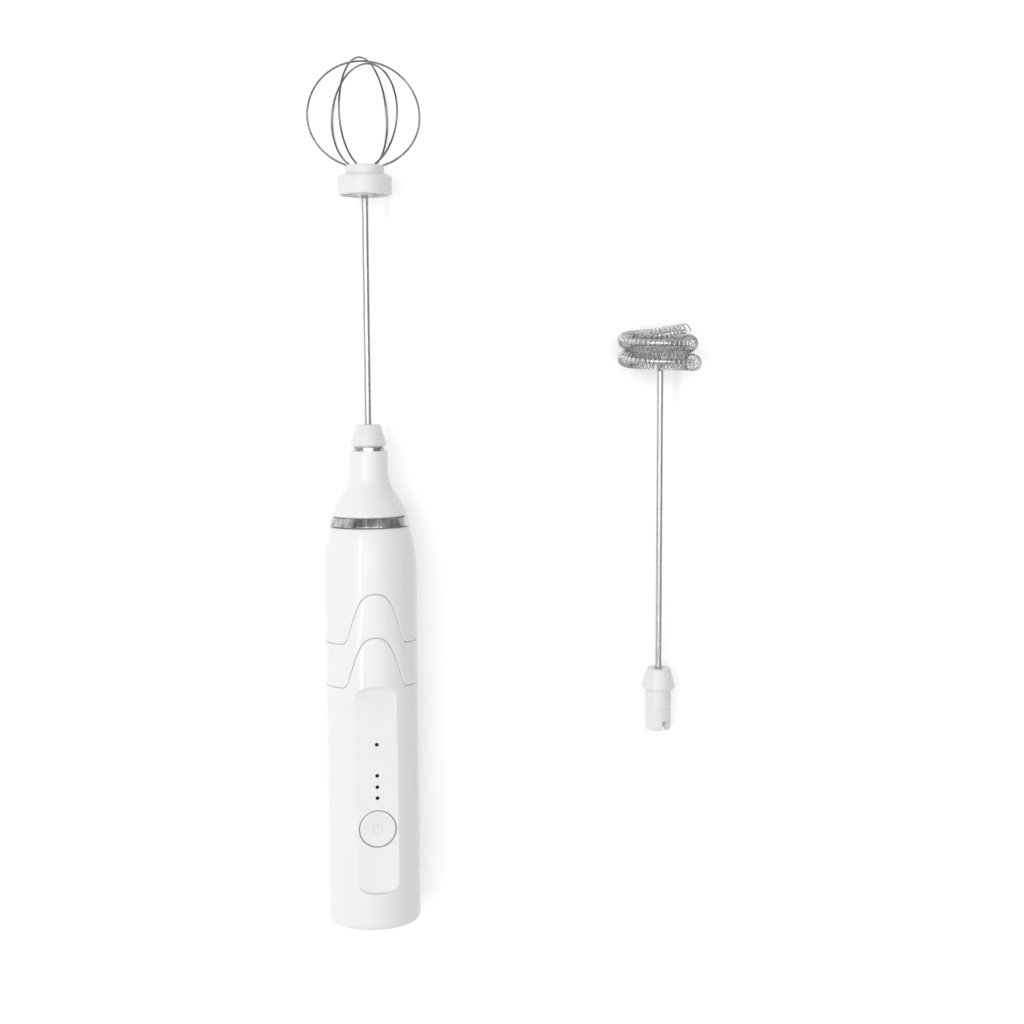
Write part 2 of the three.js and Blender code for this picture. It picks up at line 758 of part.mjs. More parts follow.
// The head's rod: up the middle, out to the ring, then round it twice as the spring's core.
function springStem() {
  const rise = [
    [0, -4.9, 0],
    [0, SPARE_STEM * 0.35, 0],
    [0, SPARE_STEM * 0.7, 0],
    [0, SPARE_STEM - 6, 0],
    [0, SPARE_STEM - 2.8, 0],
    [1.4, SPARE_STEM - 1.4, -1.6],
    [5, SPARE_STEM - 1.1, -4.4],
    [8.8, SPARE_STEM - 1.15, -3.2],
  ].map((p) => new THREE.Vector3(...p));
  const ring = Array.from({ length: 49 }, (_, i) => ringCurve.getPointAt(i / 48));
  return wire(new THREE.CatmullRomCurve3([...rise, ...ring], false, "centripetal"), SHAFT_R, 6, 72);
}

const springCoil = () => wire(new CoilCurve(), COIL_WIRE_R, 3, COIL_TURNS * 5);

// ---------- the assembly ----------

const handle = new THREE.Group();
handle.add(
  piece("lower_shell", lowerShell(), white),
  piece("wave_band", waveBand(), white),
  piece("upper_shell", upperShell(), white),
  piece("joint_sleeve", jointSleeve(), frameGrey),
  piece("trim_ring", trimRing(), chrome),
  piece("nose_cone", noseCone(), white),
  piece("nose_ferrule", noseFerrule(), chrome),
  piece("button_cap", buttonCap(), whiteButton),
  piece("switch_plunger", switchPlunger(), rubberBlack),
  piece("switch_body", switchBody(), steel),
  piece("charge_light_guide", lightGuide(LIGHT_Y[0]), smoky),
  ...LIGHT_Y.slice(1).map((y, i) => piece(`speed_light_guide_${i + 1}`, lightGuide(y), smoky)),
  piece("charge_led", led(LIGHT_Y[0] - 0.8, LIGHT_Y[0] + 0.8), ledCream),
  piece("speed_leds", led(LIGHT_Y[3] - 0.8, LIGHT_Y[1] + 0.8), ledCream),
  piece("usb_socket_shell", usbShell(), steel),
  piece("usb_socket_tongue", usbTongue(), rubberBlack),
  piece("circuit_board", circuitBoard(), boardGreen),
  piece("controller_chip", chip(0, 21, 2.5, 2.5, 1.1), rubberBlack),
  piece("charger_chip", chip(-3.5, 13, 1.5, 2.0, 1.1), rubberBlack),
  ...BOARD_SCREWS.map((at, i) => piece(`board_screw_${i + 1}`, boardScrew(at), steel)),
  piece("battery_cell", cell(), cellBlue),
  piece("cell_contact_front", contactTab(CELL_Y + CELL_LENGTH + 0.3, CELL_Y + CELL_LENGTH + 0.7), brass),
  piece("cell_contact_rear", contactTab(CELL_Y - 0.9, CELL_Y - 0.4), brass),
  piece("chassis", chassis(), frameGrey),
  piece("motor_can", motorCan(), steel),
  piece("motor_end_bell", motorEndBell(), frameGrey),
  piece("motor_terminal_left", motorTerminal(-1), brass),
  piece("motor_terminal_right", motorTerminal(1), brass),
  piece("motor_bush_rear", bush(MOTOR_Y - 2.8, MOTOR_Y + 0.6), brass),
  piece("motor_bush_front", bush(MOTOR_FRONT_Y - 0.8, MOTOR_FRONT_Y + 1.5), brass),
  piece("magnet_front", magnet(1), magnetGrey),
  piece("magnet_back", magnet(-1), magnetGrey),
  piece("brush_left", brush(-1), copper),
  piece("brush_right", brush(1), copper),
  piece("motor_mount", motorMount(), frameGrey),
  ...MOTOR_SCREW_X.map((x, i) => piece(`motor_screw_${i + 1}`, motorScrew(x), steel)),
  piece("shaft_seal", shaftSeal(), rubberBlack),
  piece("motor_lead_red", motorLead(1), redLead),
  piece("motor_lead_black", motorLead(-1), blackLead),
);

const drive = new THREE.Group();
drive.add(
  piece("drive_shaft", driveShaft(), steel),
  piece("drive_dog", driveDog(), brass),
  piece("cross_pin", crossPin(), steel),
  piece("rotor_core", rotorCore(), magnetGrey),
  ...[0, 1, 2].map((i) => piece(`rotor_winding_${i + 1}`, winding(i), copper)),
  piece("commutator", commutator(), copper),
);

const whisk = new THREE.Group();
const whiskPlug = piece("whisk_plug", plug(), white);
whiskPlug.position.y = COLLAR_Y;
whisk.add(
  whiskPlug,
  piece("whisk_shaft", rod(SHAFT_R, COLLAR_Y - 5.7, HUB_TOP_Y - 2.8), steel),
  piece("whisk_hub", whiskHub(), white),
  piece("whisk_loop_wide", whiskLoop(0), steel),
  piece("whisk_loop_left", whiskLoop(1), steel),
  piece("whisk_loop_right", whiskLoop(2), steel),
);

// The second head lies on its collar and its ring, so its axis rises a little towards the ring.
const spare = new THREE.Group();
const ringOuter = RING_PATH[0][1] + COIL_R;
const spareTilt = Math.asin((ringOuter - COLLAR_R) / (SPARE_STEM + 3.5));
const spareSlant = THREE.MathUtils.degToRad(SPARE_SLANT);
const spareTurn = THREE.MathUtils.degToRad(-75);
spare.position.set(SPARE_X, SPARE_Y, TABLE_Z + COLLAR_R / Math.cos(spareTilt) - 0.08);
spare.rotation.set(spareTilt, 0, spareSlant);
const springPlug = piece("spring_plug", plug(), white);
springPlug.rotation.y = spareTurn;
spare.add(springPlug, piece("spring_stem", springStem(), steel), piece("spring_coil", springCoil(), steel));

const frother = new THREE.Group();
frother.add(handle, drive, whisk, spare);

export default frother;
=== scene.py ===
# %% [markdown]
# # A rechargeable milk frother and its two heads
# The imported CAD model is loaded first. It is the fixed frame that the pieces below are measured from: a
# piece's place comes from the box of the CAD node that it stands for, and what no box shows is a named
# value. The spare head lies tilted, so its box says little about it, and its place is given by named values
# too.

import json
import math

import bmesh
import bpy
from mathutils import Matrix, Vector


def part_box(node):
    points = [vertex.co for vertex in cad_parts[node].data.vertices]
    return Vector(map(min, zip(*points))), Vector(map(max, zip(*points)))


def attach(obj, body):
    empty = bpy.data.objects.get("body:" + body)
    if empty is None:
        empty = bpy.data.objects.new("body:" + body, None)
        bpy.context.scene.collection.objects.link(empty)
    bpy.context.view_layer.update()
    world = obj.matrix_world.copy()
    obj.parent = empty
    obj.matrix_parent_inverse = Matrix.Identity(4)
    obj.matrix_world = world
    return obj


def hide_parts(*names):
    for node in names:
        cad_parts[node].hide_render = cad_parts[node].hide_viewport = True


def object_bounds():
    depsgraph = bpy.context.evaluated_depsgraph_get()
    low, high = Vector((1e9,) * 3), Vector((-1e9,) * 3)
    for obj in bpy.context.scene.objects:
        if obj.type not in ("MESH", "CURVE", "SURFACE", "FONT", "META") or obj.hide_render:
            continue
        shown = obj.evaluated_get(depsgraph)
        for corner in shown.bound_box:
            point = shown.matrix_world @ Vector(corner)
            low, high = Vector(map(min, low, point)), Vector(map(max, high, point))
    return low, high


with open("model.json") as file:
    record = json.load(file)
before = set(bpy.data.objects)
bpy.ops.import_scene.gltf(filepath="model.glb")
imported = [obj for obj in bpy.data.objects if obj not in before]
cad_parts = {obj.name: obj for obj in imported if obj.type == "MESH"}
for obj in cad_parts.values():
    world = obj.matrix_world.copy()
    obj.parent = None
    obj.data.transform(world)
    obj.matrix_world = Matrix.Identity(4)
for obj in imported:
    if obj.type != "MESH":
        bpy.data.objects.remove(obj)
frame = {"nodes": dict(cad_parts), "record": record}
cad_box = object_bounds()
MM = 0.001
print("CAD box", cad_box)


# %% [markdown]
# ## Small helpers
# Nearly every visible piece here is turned: a shell, a ring, a cone, a shaft. One outline spun about an
# axis makes such a piece, with rounded corners drawn into the outline, so the highlights run along real
# edges. A subdivided cylinder could do it too, but its rings drift away from the sizes; a spin keeps them
# exact.

# %% Turned pieces
def make_object(name, bm, angle=30):
    """Closes a bmesh into an object at the origin, shaded smooth except across sharp edges."""
    bmesh.ops.remove_doubles(bm, verts=bm.verts, dist=1e-7)
    bmesh.ops.recalc_face_normals(bm, faces=bm.faces)
    for face in bm.faces:
        face.smooth = True
    for edge in bm.edges:
        edge.smooth = edge.calc_face_angle(0) < math.radians(angle)
    mesh = bpy.data.meshes.new(name)
    bm.to_mesh(mesh)
    bm.free()
    piece = bpy.data.objects.new(name, mesh)
    bpy.context.scene.collection.objects.link(piece)
    return piece


def rounded(points, steps=5):
    """An outline of (radius, height) or (radius, height, fillet) points, in mm, with its fillets drawn in."""
    out = []
    for i, point in enumerate(points):
        fillet = point[2] if len(point) > 2 else 0
        if not fillet:
            out.append(Vector(point[:2]))
            continue
        here = Vector(point[:2])
        before = Vector(points[i - 1][:2]) - here
        after = Vector(points[(i + 1) % len(points)][:2]) - here
        reach = min(fillet, before.length * 0.49, after.length * 0.49)
        a = here + before.normalized() * reach
        b = here + after.normalized() * reach
        for k in range(steps + 1):
            t = k / steps
            out.append(a.lerp(here, t).lerp(here.lerp(b, t), t))
    return out


def spin_about_y(outline, steps=160, closed=False):
    """A bmesh of the outline, in mm, spun a full turn about the Y axis."""
    bm = bmesh.new()
    verts = [bm.verts.new((r * MM, y * MM, 0)) for r, y in outline]
    pairs = list(zip(verts, verts[1:]))
    if closed:
        pairs.append((verts[-1], verts[0]))
    edges = [bm.edges.new(pair) for pair in pairs]
    bmesh.ops.spin(
        bm,
        geom=verts + edges,
        cent=(0, 0, 0),
        axis=(0, 1, 0),
        angle=math.tau,
        steps=steps,
        use_merge=True,
        use_duplicate=False,
    )
    return bm


def apply_modifiers(piece):
    """Replaces a piece's mesh with what its modifiers make of it."""
    graph = bpy.context.evaluated_depsgraph_get()
    mesh = bpy.data.meshes.new_from_object(piece.evaluated_get(graph))
    piece.modifiers.clear()
    old = piece.data
    piece.data = mesh
    bpy.data.meshes.remove(old)


def cut_with(piece, *cutters):
    """Takes the cutters' space out of a piece, then shades its new edges sharp."""
    for cutter in cutters:
        boolean = piece.modifiers.new("cut", "BOOLEAN")
        boolean.operation = "DIFFERENCE"
        boolean.solver = "EXACT"
        boolean.object = cutter
    bpy.context.view_layer.update()
    apply_modifiers(piece)
    for cutter in cutters:
        bpy.data.objects.remove(cutter)
    bm = bmesh.new()
    bm.from_mesh(piece.data)
    for face in bm.faces:
        face.smooth = True
    for edge in bm.edges:
        edge.smooth = edge.calc_face_angle(0) < math.radians(24)
    bm.to_mesh(piece.data)
    bm.free()


def centre(node):
    low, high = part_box(node)
    return (Vector(low) + Vector(high)) / 2


def span_y(node):
    """Where a CAD node starts and ends along the handle, in mm."""
    low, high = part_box(node)
    return low[1] / MM, high[1] / MM


# %% [markdown]
# ## Materials
# Moulded plastic is never one flat colour. Its gloss drifts a little where the mould was polished by hand
# and where fingers have been, and its skin has a very faint ripple that bends the edges of reflections.
# Each finish is a Principled shader whose roughness, tint and bump come from noise at those scales. Noise
# on Object coordinates is used because every piece sits at the origin, so the pattern never slides.

# %% One recipe for every finish
def blend_nodes(material, low, high, scale, detail=3, stretch=(1, 1, 1)):
    """Noise between two values: a number pair gives a number, a colour pair gives a colour."""
    nodes, links = material.node_tree.nodes, material.node_tree.links
    coordinates = nodes.new("ShaderNodeTexCoord")
    mapping = nodes.new("ShaderNodeMapping")
    mapping.inputs["Scale"].default_value = stretch
    noise = nodes.new("ShaderNodeTexNoise")
    noise.inputs["Scale"].default_value = scale
    noise.inputs["Detail"].default_value = detail
    ramp = nodes.new("ShaderNodeMapRange")
    links.new(coordinates.outputs["Object"], mapping.inputs["Vector"])
    links.new(mapping.outputs["Vector"], noise.inputs["Vector"])
    links.new(noise.outputs["Fac"], ramp.inputs["Value"])
    ramp.inputs["From Min"].default_value = 0.3
    ramp.inputs["From Max"].default_value = 0.7
    if isinstance(low, (int, float)):
        ramp.inputs["To Min"].default_value = low
        ramp.inputs["To Max"].default_value = high
        return ramp.outputs["Result"]
    mix = nodes.new("ShaderNodeMix")
    mix.data_type = "RGBA"
    mix.inputs["A"].default_value = (*low, 1)
    mix.inputs["B"].default_value = (*high, 1)
    links.new(ramp.outputs["Result"], mix.inputs["Factor"])
    return mix.outputs["Result"]


def finish(
    name, color, rough, *, metal=0, tint=0.03, patch=60, bump=(0.02, 900), stretch=(1, 1, 1), coat=0, ior=1.5
):
    """A material with drifting colour and gloss. rough is (smooth, dull), bump is (strength, scale)."""
    material = bpy.data.materials.new(name)
    material.use_nodes = True
    nodes, links = material.node_tree.nodes, material.node_tree.links
    shader = nodes["Principled BSDF"]
    shader.inputs["Metallic"].default_value = metal
    shader.inputs["IOR"].default_value = ior
    shader.inputs["Coat Weight"].default_value = coat
    shader.inputs["Coat Roughness"].default_value = 0.12
    dark = tuple(c * (1 - tint) for c in color)
    links.new(blend_nodes(material, dark, color, patch, 4, stretch), shader.inputs["Base Color"])
    links.new(blend_nodes(material, rough[0], rough[1], patch * 3, 6, stretch), shader.inputs["Roughness"])
    strength, scale = bump
    node = nodes.new("ShaderNodeBump")
    node.inputs["Strength"].default_value = strength
    node.inputs["Distance"].default_value = 0.0002
    links.new(blend_nodes(material, 0.0, 1.0, scale, 3, stretch), node.inputs["Height"])
    links.new(node.outputs["Normal"], shader.inputs["Normal"])
    return material


white = finish(
    "white_abs", (0.75, 0.75, 0.747), (0.12, 0.18), tint=0.015, patch=40, bump=(0.02, 420), ior=1.42
)
white_button = finish(
    "white_button", (0.74, 0.74, 0.737), (0.16, 0.24), tint=0.015, patch=90, bump=(0.06, 500)
)
white_part = finish(
    "white_pom", (0.72, 0.72, 0.72), (0.22, 0.32), tint=0.03, patch=150, bump=(0.03, 900), ior=1.42
)
# The chrome's base colour runs from a tenth to full strength in bands along the ring's height. These bands
# are painted reflections of a dark and bright studio, not a property of the plating.
painted_reflection_chrome = finish(
    "plated_chrome_painted_reflections", (0.74, 0.75, 0.77), (0.1, 0.2), metal=1, tint=0.9, patch=330, bump=(0.04, 900),
    stretch=(1, 0.05, 1),
)
steel = finish(
    "drawn_stainless", (0.5, 0.5, 0.51), (0.16, 0.26), metal=1, tint=0.12, patch=500, bump=(0.03, 1800),
    stretch=(1, 0.06, 1),
)
# The loop wire's base colour is about half that of the other stainless parts. This is painted dark
# reflection, standing in for the dark surroundings that the thin wires mirror; noise still varies it between
# half and full.
loop_steel_painted_dark = finish(
    "loop_wire_painted_dark", (0.26, 0.26, 0.27), (0.14, 0.24), metal=1, tint=0.5, patch=300, bump=(0.02, 2500)
)
spring_steel = finish("spring_wire", (0.6, 0.6, 0.61), (0.1, 0.18), metal=1, tint=0.2, patch=300)
rod_steel = finish("rod_steel", (0.56, 0.56, 0.57), (0.2, 0.26), metal=1, tint=0.1, patch=200)
smoky = finish(
    "smoky_lens", (0.012, 0.012, 0.013), (0.35, 0.45), tint=0.3, patch=900, bump=(0.03, 2500), ior=1.3
)
mark_grey = finish("printed_grey", (0.6, 0.6, 0.61), (0.3, 0.4), tint=0.06, patch=900, bump=(0.05, 2500))
print("shell materials", [m.name for m in bpy.data.materials])


# %% [markdown]
# ## The pieces inside
# The motor, the cell and the board keep the shape that the CAD gave them, since only slivers of them show.
# They still get real finishes: an uneven solder mask, a shrink sleeve, enamelled copper, ground steel.

# %% Finishes for the CAD nodes
SLOT_FINISH = {
    "bright_steel": finish(
        "bright_steel", (0.55, 0.55, 0.56), (0.2, 0.34), metal=1, tint=0.2, patch=300, bump=(0.1, 1500)
    ),
    "frame_grey": finish(
        "frame_grey", (0.06, 0.065, 0.07), (0.45, 0.6), tint=0.2, patch=150, bump=(0.3, 1600)
    ),
    "board_green": finish(
        "board_green", (0.02, 0.13, 0.05), (0.2, 0.4), tint=0.4, patch=220, bump=(0.35, 900), coat=0.3
    ),
    "chip_black": finish(
        "chip_black", (0.012, 0.012, 0.013), (0.4, 0.55), tint=0.3, patch=700, bump=(0.3, 3000)
    ),
    "led_cream": finish(
        "led_cream", (0.75, 0.7, 0.45), (0.2, 0.35), tint=0.1, patch=800, bump=(0.1, 2000)
    ),
    "cell_blue": finish(
        "cell_sleeve", (0.03, 0.12, 0.32), (0.2, 0.35), tint=0.2, patch=120, bump=(0.15, 400), coat=0.2
    ),
    "brass": finish(
        "brass", (0.66, 0.44, 0.16), (0.2, 0.38), metal=1, tint=0.25, patch=350, bump=(0.12, 1500)
    ),
    "magnet_grey": finish(
        "ferrite", (0.06, 0.06, 0.065), (0.5, 0.7), tint=0.3, patch=500, bump=(0.4, 2200)
    ),
    "copper": finish(
        "enamelled_copper", (0.6, 0.24, 0.1), (0.2, 0.32), metal=1, tint=0.3, patch=900, bump=(0.4, 2600)
    ),
    "seal_rubber": finish(
        "nitrile", (0.015, 0.015, 0.015), (0.6, 0.8), tint=0.2, patch=400, bump=(0.3, 1600)
    ),
    "lead_red": finish(
        "red_pvc", (0.45, 0.015, 0.012), (0.35, 0.5), tint=0.15, patch=400, bump=(0.1, 1800)
    ),
    "lead_black": finish(
        "black_pvc", (0.014, 0.014, 0.014), (0.35, 0.5), tint=0.2, patch=400, bump=(0.1, 1800)
    ),
    "smoky_guide": smoky,
    "chrome_trim": painted_reflection_chrome,
    "stainless": steel,
    "white_gloss": white,
    "white_button": white_button,
    "white_part": white_part,
}
for part in frame["record"]["subparts"]:
    mesh = frame["nodes"][part["node"]].data
    mesh.materials.clear()
    mesh.materials.append(SLOT_FINISH[part["material_slot"]])


def place(piece, body, node_slot, material, *nodes):
    """Says which body a piece rides on, its finish, and the CAD nodes that it stands for."""
    piece.data.materials.clear()
    piece.data.materials.append(material)
    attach(piece, body)
    if nodes:
        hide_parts(*nodes)
    print(piece.name, len(piece.data.polygons), "faces")
    return piece


# %% [markdown]
# ## The three housings
# The handle is three thin shells pushed on one sleeve. Between them run two wavy seams: level round the
# back and lifted into one smooth hump at the front. Each shell is spun first, and then the rows near its
# seam are lifted by the hump's height for their angle. The seam's edges are small fillets in the outline,
# so they lift as one and keep their rounding. Cutting the seams with a wavy knife would leave sharp, uneven
# edges instead.

# %% Sizes of the housings
BODY_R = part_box("lower_shell")[1][0] / MM
WALL = 2.2
BORE_R = BODY_R - WALL
SEAM_HUMP = 14.9
SEAM_GAP = 0.4  # the gap that the CAD leaves between two shells
SEAM_SEEN = 0.03  # what is left open between the rounded edges of two shells
SEAM_EDGE = 0.6  # fillet of a shell's edge at a seam
SEAM_SPACING = 12.6
band_low = span_y("wave_band")[0]
SEAM_Y = [band_low - SEAM_GAP / 2, band_low - SEAM_GAP / 2 + SEAM_SPACING]
HUMP_HALF = 27.8  # degrees from the front to where the hump is half as high
HUMP_TURN = 0.0844  # how quickly it falls there, per degree
HUMP_SETTLE = 0.0043  # how much quicker it settles for each degree past that
HUMP_FOOT = 14  # degrees past it where that stops growing
HUMP_ROUND = 4  # degrees over which its top is rounded
print("seams at", [round(y, 2) for y in SEAM_Y])


def seam_rise(angle):
    """How far a seam is lifted, in mm, at an angle from the front."""
    past = math.hypot(math.degrees(angle), HUMP_ROUND) - HUMP_HALF
    settle = HUMP_SETTLE * min(max(past, 0), HUMP_FOOT)
    return SEAM_HUMP / 2 * (1 - math.tanh(past * (HUMP_TURN + settle)))


def half_gap(angle):
    """Half the seam's opening along Y: more where the seam is steep, so that it looks equally wide."""
    slope = (seam_rise(angle + 0.01) - seam_rise(angle - 0.01)) / (0.02 * BODY_R)
    return SEAM_SEEN / 2 * math.hypot(1, slope)


def lift_to_seam(bm, seam, fixed, side):
    """Lifts the rows of a spun shell between the heights fixed and seam, all in mm."""
    for vert in bm.verts:
        share = (vert.co.y / MM - fixed) / (seam - fixed)
        if share <= 0:
            continue
        angle = math.atan2(vert.co.x, vert.co.z)
        vert.co.y += min(share, 1) * (seam_rise(angle) + side * half_gap(angle)) * MM


# %% The grip housing
def straight_rows(radius, start, end, count):
    """Outline points between two heights of a straight wall, so that its rows can be lifted."""
    return [(radius, start + (end - start) * k / count) for k in range(1, count)]


FIXED = 60  # rows above this height are lifted towards the seam
BASE_WALL = 2
BASE_BEVEL = 1.2  # bevel inside, between the base wall and the bore
grip = spin_about_y(
    rounded(
        [(0, 0), (BODY_R, 0, 2.0), (BODY_R, FIXED)]
        + straight_rows(BODY_R, FIXED, SEAM_Y[0], 4)
        + [(BODY_R, SEAM_Y[0], SEAM_EDGE), (BORE_R, SEAM_Y[0], 0.2)]
        + [(BORE_R, FIXED), (BORE_R, BASE_WALL + BASE_BEVEL)]
        + [(BORE_R - BASE_BEVEL, BASE_WALL), (0, BASE_WALL)],
        6,
    ),
    192,
)
lift_to_seam(grip, SEAM_Y[0], FIXED, -1)
grip_shell = make_object("grip_housing", grip)

# %% [markdown]
# The flat panel is a real flat: the round barrel is milled down to one plane whose ends have rounded
# corners. A cutter with that outline does it in one go, and round cutters make the holes for the button and
# the four lights. Pushing vertices down by hand would leave the ends ragged.

# %% The flat panel and its holes
FACE_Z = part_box("charge_light_guide")[1][2] / MM + 0.05
button = centre("button_cap") / MM
BUTTON_R = 5.2
BUTTON_GAP = 0.22
LIGHT_HOLE_R = 0.56
HOLE_Z = (5, 15)  # the hole cutters start and end here, well clear of the wall
PANEL_HALF = math.sqrt(BODY_R**2 - FACE_Z**2) + 1
PANEL_Y = (10.9, 71.0)
PANEL_CORNER = 5.2
light_names = ["charge_light_guide", "speed_light_guide_1", "speed_light_guide_2", "speed_light_guide_3"]
light_y = [centre(name).y / MM for name in light_names]
print("panel plane", round(FACE_Z, 2), "button at", round(button.y, 2))
print("lights at", [round(y, 1) for y in light_y])


def round_cutter(name, radius, x, y, low, high, segments=72, top=None):
    """A cylinder along Z between two heights, in mm, as an object. top is the radius of its upper end."""
    bm = bmesh.new()
    bmesh.ops.create_cone(
        bm,
        cap_ends=True,
        segments=segments,
        radius1=radius * MM,
        radius2=(top or radius) * MM,
        depth=(high - low) * MM,
        matrix=Matrix.Translation((x * MM, y * MM, (low + high) / 2 * MM)),
    )
    return make_object(name, bm)


def panel_cutter():
    """The space over the flat panel: a plate with four rounded corners, its lower edge filleted."""
    bm = bmesh.new()
    middle = (PANEL_Y[0] + PANEL_Y[1]) / 2
    size = (2 * PANEL_HALF, PANEL_Y[1] - PANEL_Y[0], 6)
    bmesh.ops.create_cube(bm, size=1)
    bmesh.ops.scale(bm, vec=Vector(size) * MM, verts=bm.verts)
    bmesh.ops.translate(bm, vec=Vector((0, middle, FACE_Z + 3)) * MM, verts=bm.verts)
    corners = [e for e in bm.edges if abs(e.verts[0].co.z - e.verts[1].co.z) > MM]
    bmesh.ops.bevel(
        bm, geom=corners, offset=PANEL_CORNER * MM, segments=14, affect="EDGES", profile=0.5, material=-1
    )
    lower = [e for e in bm.edges if all(v.co.z < (FACE_Z + 0.1) * MM for v in e.verts)]
    bmesh.ops.bevel(bm, geom=lower, offset=0.3 * MM, segments=3, affect="EDGES", profile=0.5, material=-1)
    return make_object("panel_cutter", bm)


cutters = [panel_cutter(), round_cutter("button_hole", BUTTON_R + BUTTON_GAP, 0, button.y, *HOLE_Z, 96)]
cutters.append(
    round_cutter("button_edge", BUTTON_R - 0.2, 0, button.y, FACE_Z - 0.4, FACE_Z + 0.4, 96, BUTTON_R + 0.7)
)
for y in light_y:
    cutters.append(round_cutter("light_hole", LIGHT_HOLE_R, 0, y, *HOLE_Z, 32))

socket_low, socket_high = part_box("usb_socket_shell")


def socket_cutter():
    """The rounded mouth in the base wall that a charging plug goes through."""
    grow = 0.25 * MM
    low = Vector((socket_low[0] - grow, -0.001, socket_low[2] - grow))
    high = Vector((socket_high[0] + grow, 0.004, socket_high[2] + grow))
    bm = bmesh.new()
    bmesh.ops.create_cube(bm, size=1)
    bmesh.ops.scale(bm, vec=high - low, verts=bm.verts)
    bmesh.ops.translate(bm, vec=(low + high) / 2, verts=bm.verts)
    along = [e for e in bm.edges if abs(e.verts[0].co.y - e.verts[1].co.y) > MM]
    radius = (high.z - low.z) * 0.499
    bmesh.ops.bevel(bm, geom=along, offset=radius, segments=10, affect="EDGES", profile=0.5, material=-1)
    return make_object("socket_cutter", bm)


cut_with(grip_shell, *cutters, socket_cutter())
place(grip_shell, "handle", "white_gloss", white, "lower_shell")

# %% The band between the seams
band = spin_about_y(
    rounded(
        [
            (BORE_R, SEAM_Y[0], 0.2),
            (BODY_R, SEAM_Y[0], SEAM_EDGE),
            (BODY_R, SEAM_Y[1], SEAM_EDGE),
            (BORE_R, SEAM_Y[1], 0.2),
        ],
        6,
    ),
    192,
    closed=True,
)
for vert in band.verts:
    angle = math.atan2(vert.co.x, vert.co.z)
    side = 1 if vert.co.y < (SEAM_Y[0] + SEAM_Y[1]) / 2 * MM else -1
    vert.co.y += (seam_rise(angle) + side * half_gap(angle)) * MM
place(make_object("seam_band", band), "handle", "white_gloss", white, "wave_band")

# %% The upper housing
UPPER_TOP = span_y("upper_shell")[1]
SHOULDER_Y = 103
SHOULDER_R = 41
RING_BORE = 10


def shoulder(y):
    """The housing's radius above SHOULDER_Y, on one large arc that leaves the barrel smoothly."""
    return BODY_R - SHOULDER_R + math.sqrt(SHOULDER_R**2 - (y - SHOULDER_Y) ** 2)


shoulder_heights = [SHOULDER_Y + (UPPER_TOP - SHOULDER_Y) * k / 14 for k in range(1, 14)]
shoulder_rows = [(shoulder(y), y) for y in shoulder_heights]
upper = spin_about_y(
    rounded(
        [(BODY_R, SEAM_Y[1], SEAM_EDGE)]
        + straight_rows(BODY_R, SEAM_Y[1], SHOULDER_Y, 6)
        + [(BODY_R, SHOULDER_Y)]
        + shoulder_rows
        + [(shoulder(UPPER_TOP), UPPER_TOP, 0.5), (RING_BORE, UPPER_TOP), (RING_BORE, 113), (10.9, 111.6)]
        + [(BORE_R, 109.5), (BORE_R, SHOULDER_Y), (BORE_R, SEAM_Y[1], 0.2)],
        6,
    ),
    192,
    closed=True,
)
lift_to_seam(upper, SEAM_Y[1], SHOULDER_Y, 1)
place(make_object("upper_housing", upper), "handle", "white_gloss", white, "upper_shell")


# %% [markdown]
# ## The front of the handle
# A plated ring closes the housing, and the nose cone rises out of it: it leaves the ring nearly straight,
# slopes in, and turns through one hollow curve into a short straight snout. Inside the snout a plated
# ferrule holds the coupling.

# %% Ring, nose cone and ferrule
def arc(centre_r, centre_y, radius, start, end, steps):
    """Outline points on an arc between two angles, in degrees."""
    angles = (math.radians(start + (end - start) * k / steps) for k in range(steps + 1))
    return [(centre_r + radius * math.cos(a), centre_y + radius * math.sin(a)) for a in angles]


RING_Y = span_y("trim_ring")
RING_R = (11.75, 10.75)  # outer radius at the two ends of the ring
ring_outline = rounded(
    [(RING_BORE, RING_Y[0], 0.1), (RING_R[0], RING_Y[0], 0.3)]
    + [(RING_R[1], RING_Y[1], 0.3), (RING_BORE, RING_Y[1], 0.1)]
)
# The ring and the ferrule below use the chrome whose reflection bands are painted into its colour.
plated_ring = make_object("trim_ring_plated", spin_about_y(ring_outline, 160, True))
place(plated_ring, "handle", "chrome_trim", painted_reflection_chrome, "trim_ring")

NOSE_Y = span_y("nose_cone")
NOSE_R = 5.6
NOSE_BORE = (4.8, 4.3)  # radius at the mouth, for the ferrule, and below it
NOSE_STEP_Y = 130  # where the bore changes from one to the other
HOLLOW_R = 12  # radius of the hollow curve
HOLLOW_Y = 132.3  # height where the hollow curve meets the snout
nose_start = RING_Y[1] + 0.3
nose_outline = rounded(
    [(10.85, nose_start, 0.35), (10.8, nose_start + 0.6), (10.4, 120.6), (9.9, 122.0)]
    + arc(NOSE_R + HOLLOW_R, HOLLOW_Y, HOLLOW_R, 206, 180, 16)
    + [(NOSE_R, NOSE_Y[1], 0.6), (NOSE_BORE[0], NOSE_Y[1], 0.2), (NOSE_BORE[0], NOSE_STEP_Y)]
    + [(NOSE_BORE[1], NOSE_STEP_Y), (NOSE_BORE[1], 124.5), (8.4, 119.5)]
    + [(8.4, NOSE_Y[0]), (9.7, NOSE_Y[0]), (9.7, nose_start)],
    6,
)
place(make_object("nose", spin_about_y(nose_outline, 160, True)), "handle", "white_gloss", white, "nose_cone")

